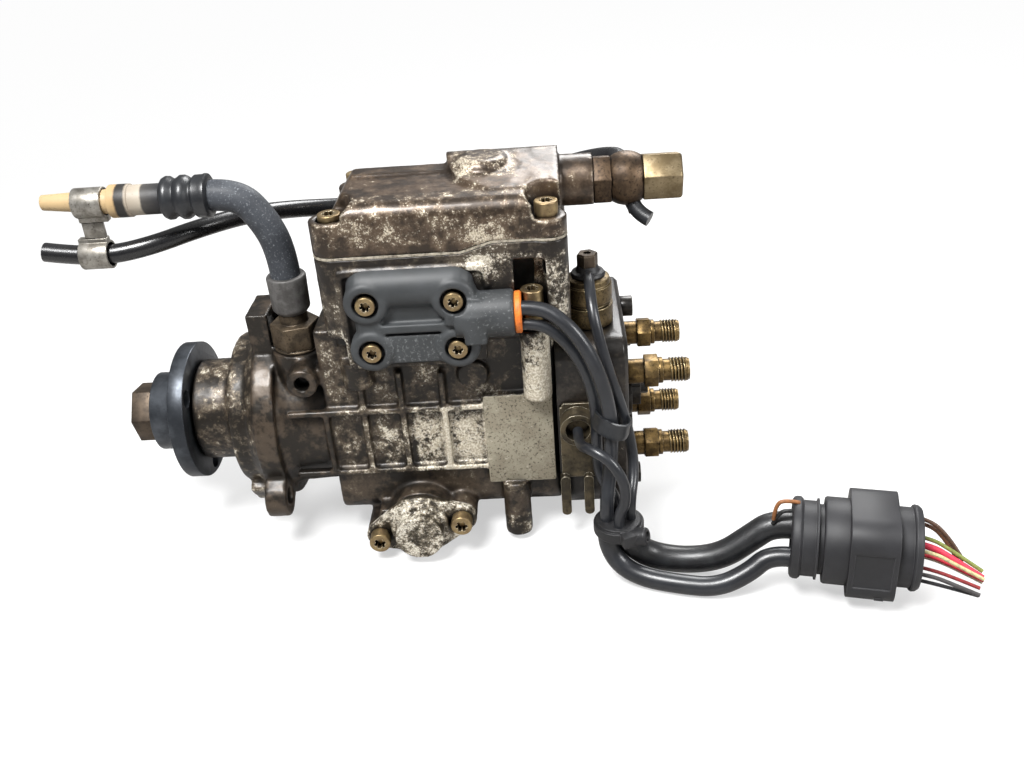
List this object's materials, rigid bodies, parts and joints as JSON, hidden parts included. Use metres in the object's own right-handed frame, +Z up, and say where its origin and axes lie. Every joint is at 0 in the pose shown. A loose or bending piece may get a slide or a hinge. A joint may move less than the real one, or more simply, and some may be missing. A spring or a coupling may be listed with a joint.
{
  "type": "diesel injection pump",
  "caption": "Distributor injection pump with drive hub, electric quantity adjuster, four threaded outlets, fuel hoses and a wiring harness with a round connector.",
  "frame": {"origin": "centre of the mounting flange's face, on the drive shaft's axis", "axes": "+X along the shaft towards the outlets, +Y away from the harness side, +Z up towards the adjuster cover"},
  "size_m": [0.4023, 0.1876, 0.1851],
  "materials": {
    "cast_housing": "sand cast, stained brown and black with worn pale edges",
    "cast_cover": "cast, dark brown oil stain, worn bright along the upper edge",
    "timing_cover_cast": "cast, pale and speckled",
    "head_steel": "dark oily steel",
    "bright_steel": "ground steel inside the pump",
    "hub_steel": "blue-grey steel",
    "nut_steel": "brown phosphated steel",
    "zinc_screw": "yellow zinc plate, worn",
    "outlet_brass": "yellow passivated steel with dark grime",
    "bearing_bronze": "bronze and oil seal",
    "inlet_steel": "dirty zinc plate",
    "ferrule_grey": "grey crimped ferrule",
    "hose_rubber": "matt blue-black rubber with a fine weave",
    "boot_rubber": "black rubber",
    "amber_plastic": "amber translucent plastic",
    "gloss_hose": "glossy black",
    "clip_steel": "rusted clip steel",
    "gasket_fibre": "pale gasket edge",
    "stator_iron": "laminated iron and winding",
    "plug_plastic": "dark blue-grey plastic",
    "plate_metal": "bare plate with dark speckles",
    "return_steel": "brown rusted steel",
    "cap_brass": "yellow passivated steel",
    "shutoff_metal": "yellow passivated body, black insulator",
    "solenoid_steel": "plated steel",
    "bracket_steel": "pale zinc plate",
    "cable_jacket": "black-grey cable jacket with a sheen",
    "sleeve_fabric": "black cloth tape",
    "connector_plastic": "dark grey moulded plastic",
    "wire_colours": "coloured wire insulation"
  },
  "bodies": {
    "casing": {"pump_housing": "cast_housing", "shaft_seal_and_bush": "bearing_bronze", "supply_ring": "bright_steel", "plunger_springs": "bright_steel", "timing_spring": "bright_steel", "timing_covers": "timing_cover_cast", "distributor_head": "head_steel", "head_plug_and_screws": "head_steel", "delivery_valve_holders": "outlet_brass", "delivery_springs": "bright_steel", "adjuster_housing": "cast_housing", "adjuster_gasket": "gasket_fibre", "adjuster_cover": "cast_cover", "adjuster_stator": "stator_iron", "plug_cover": "plug_plastic", "casing_screws": "zinc_screw", "name_plate": "plate_metal", "inlet_union": "inlet_steel", "hose_ferrule": "ferrule_grey", "feed_hose": "hose_rubber", "hose_boot": "boot_rubber", "feed_tube": "amber_plastic", "return_hose": "gloss_hose", "hose_clips": "clip_steel", "return_valve": "return_steel", "return_banjo": "return_steel", "return_cap_nut": "cap_brass", "shutoff_valve": "shutoff_metal", "timing_solenoid": "solenoid_steel", "cable_bracket": "bracket_steel", "quantity_lead": "cable_jacket", "position_lead": "cable_jacket", "shutoff_lead": "cable_jacket", "timing_lead": "cable_jacket", "harness_cable": "cable_jacket", "harness_sleeve": "sleeve_fabric", "cable_tie": "boot_rubber", "connector_plug": "connector_plastic", "connector_socket": "connector_plastic", "cut_wires": "wire_colours"},
    "drive": {"drive_shaft": "bright_steel", "hub": "hub_steel", "hub_nut_and_key": "nut_steel", "supply_rotor": "bright_steel", "coupling_disc": "bright_steel", "cam_plate": "bright_steel", "plunger": "bright_steel"},
    "roller_ring": {"roller_ring": "bright_steel"},
    "roller_1": {"roller_1": "bright_steel"},
    "roller_2": {"roller_2": "bright_steel"},
    "roller_3": {"roller_3": "bright_steel"},
    "roller_4": {"roller_4": "bright_steel"},
    "timing_piston": {"timing_piston": "bright_steel"},
    "control_collar": {"control_collar": "bright_steel"},
    "adjuster_rotor": {"adjuster_rotor": "bright_steel"},
    "shutoff_plunger": {"shutoff_plunger": "bright_steel"},
    "delivery_valve_1": {"delivery_valve_1": "bright_steel"},
    "delivery_valve_2": {"delivery_valve_2": "bright_steel"},
    "delivery_valve_3": {"delivery_valve_3": "bright_steel"},
    "delivery_valve_4": {"delivery_valve_4": "bright_steel"}
  },
  "joints": [
    {"name": "drive_spin", "type": "hinge", "parent": "casing", "child": "drive", "pos_m": [0, 0, 0], "axis": [1, 0, 0], "continuous": true},
    {"name": "timing_slide", "type": "slide", "parent": "casing", "child": "timing_piston", "axis": [0, 1, 0], "range_m": [0, 0.0066], "stiffness_N_per_m": 2000, "springref_m": -0.004, "deforming": ["timing_spring"]},
    {"name": "roller_ring_turn", "type": "hinge", "parent": "casing", "child": "roller_ring", "pos_m": [0, 0, 0], "axis": [1, 0, 0], "range_deg": [0, 9.2]},
    {"name": "roller_1_spin", "type": "hinge", "parent": "roller_ring", "child": "roller_1", "pos_m": [0.078, 0, 0], "axis": [0, 0.7071, 0.7071], "continuous": true},
    {"name": "roller_2_spin", "type": "hinge", "parent": "roller_ring", "child": "roller_2", "pos_m": [0.078, 0, 0], "axis": [0, -0.7071, 0.7071], "continuous": true},
    {"name": "roller_3_spin", "type": "hinge", "parent": "roller_ring", "child": "roller_3", "pos_m": [0.078, 0, 0], "axis": [0, -0.7071, -0.7071], "continuous": true},
    {"name": "roller_4_spin", "type": "hinge", "parent": "roller_ring", "child": "roller_4", "pos_m": [0.078, 0, 0], "axis": [0, 0.7071, -0.7071], "continuous": true},
    {"name": "adjuster_turn", "type": "hinge", "parent": "casing", "child": "adjuster_rotor", "pos_m": [0.116, 0, 0.07], "axis": [0, 0, -1], "range_deg": [0, 60], "stiffness_Nm_per_rad": 0.05, "springref_deg": -17.19},
    {"name": "collar_slide", "type": "slide", "parent": "casing", "child": "control_collar", "axis": [1, 0, 0], "range_m": [0, 0.0026]},
    {"name": "shutoff_slide", "type": "slide", "parent": "casing", "child": "shutoff_plunger", "axis": [0, 0, 1], "range_m": [0, 0.002], "stiffness_N_per_m": 1500, "springref_m": -0.003},
    {"name": "delivery_1_slide", "type": "slide", "parent": "casing", "child": "delivery_valve_1", "axis": [1, 0, 0], "range_m": [0, 0.001], "stiffness_N_per_m": 2000, "springref_m": -0.001, "deforming": ["delivery_springs"]},
    {"name": "delivery_2_slide", "type": "slide", "parent": "casing", "child": "delivery_valve_2", "axis": [1, 0, 0], "range_m": [0, 0.001], "stiffness_N_per_m": 2000, "springref_m": -0.001, "deforming": ["delivery_springs"]},
    {"name": "delivery_3_slide", "type": "slide", "parent": "casing", "child": "delivery_valve_3", "axis": [1, 0, 0], "range_m": [0, 0.001], "stiffness_N_per_m": 2000, "springref_m": -0.001, "deforming": ["delivery_springs"]},
    {"name": "delivery_4_slide", "type": "slide", "parent": "casing", "child": "delivery_valve_4", "axis": [1, 0, 0], "range_m": [0, 0.001], "stiffness_N_per_m": 2000, "springref_m": -0.001, "deforming": ["delivery_springs"]}
  ],
  "couplings": [
    {"joint": "roller_ring_turn", "follows": "timing_slide", "rad_per_m": 23.81},
    {"joint": "roller_1_spin", "follows": "drive_spin", "ratio": -3.5},
    {"joint": "roller_2_spin", "follows": "drive_spin", "ratio": -3.5},
    {"joint": "roller_3_spin", "follows": "drive_spin", "ratio": -3.5},
    {"joint": "roller_4_spin", "follows": "drive_spin", "ratio": -3.5},
    {"joint": "collar_slide", "follows": "adjuster_turn", "m_per_rad": 0.002387}
  ]
}
